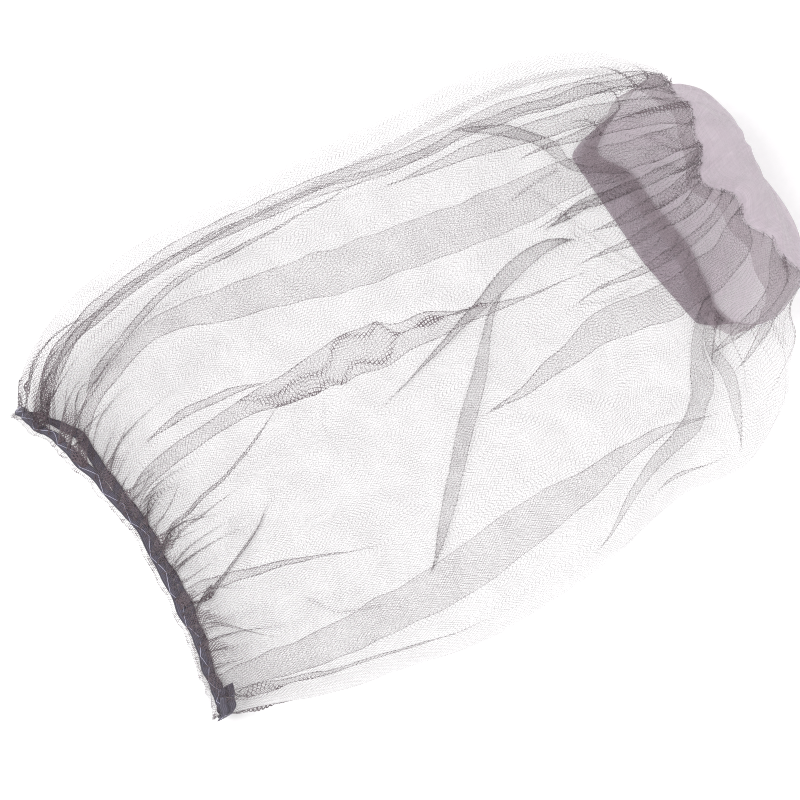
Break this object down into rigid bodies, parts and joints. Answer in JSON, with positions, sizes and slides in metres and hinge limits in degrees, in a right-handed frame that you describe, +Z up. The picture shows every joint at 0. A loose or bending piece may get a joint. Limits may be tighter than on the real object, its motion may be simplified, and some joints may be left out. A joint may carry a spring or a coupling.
{
  "type": "beekeeping veil",
  "caption": "Pull-over head veil: gathered tube of fine dark net with a sewn woven crown and an elastic neck hem, lying on its side.",
  "frame": {"origin": "centre of the footprint of the veil's box, on the surface that it lies on", "axes": "+X along the veil from the neck hem to the crown, +Y across it, +Z up from the surface"},
  "size_m": [0.4666, 0.3001, 0.0971],
  "materials": {
    "crown_cloth": "thin plain-woven polyester, slight sheen",
    "net": "fine warp-knitted polyester net, open",
    "elastic": "ribbed knitted elastic, matte",
    "thread": "polyester sewing thread"
  },
  "bodies": {
    "veil": {"crown_panel": "crown_cloth", "crown_facing": "crown_cloth", "crown_stitching": "thread", "net_skirt": "net", "side_seam_allowance": "net", "side_seam_stitching": "thread"},
    "neck_hem": {"hem_net_edge": "net", "neck_elastic": "elastic", "elastic_join": "elastic", "elastic_join_stitching": "thread", "hem_stitching": "thread"}
  },
  "joints": [
    {"name": "hem_gather", "type": "slide", "parent": "veil", "child": "neck_hem", "axis": [1, 0, 0], "range_m": [0, 0.2], "deforming": ["net_skirt", "side_seam_allowance", "side_seam_stitching"]}
  ]
}
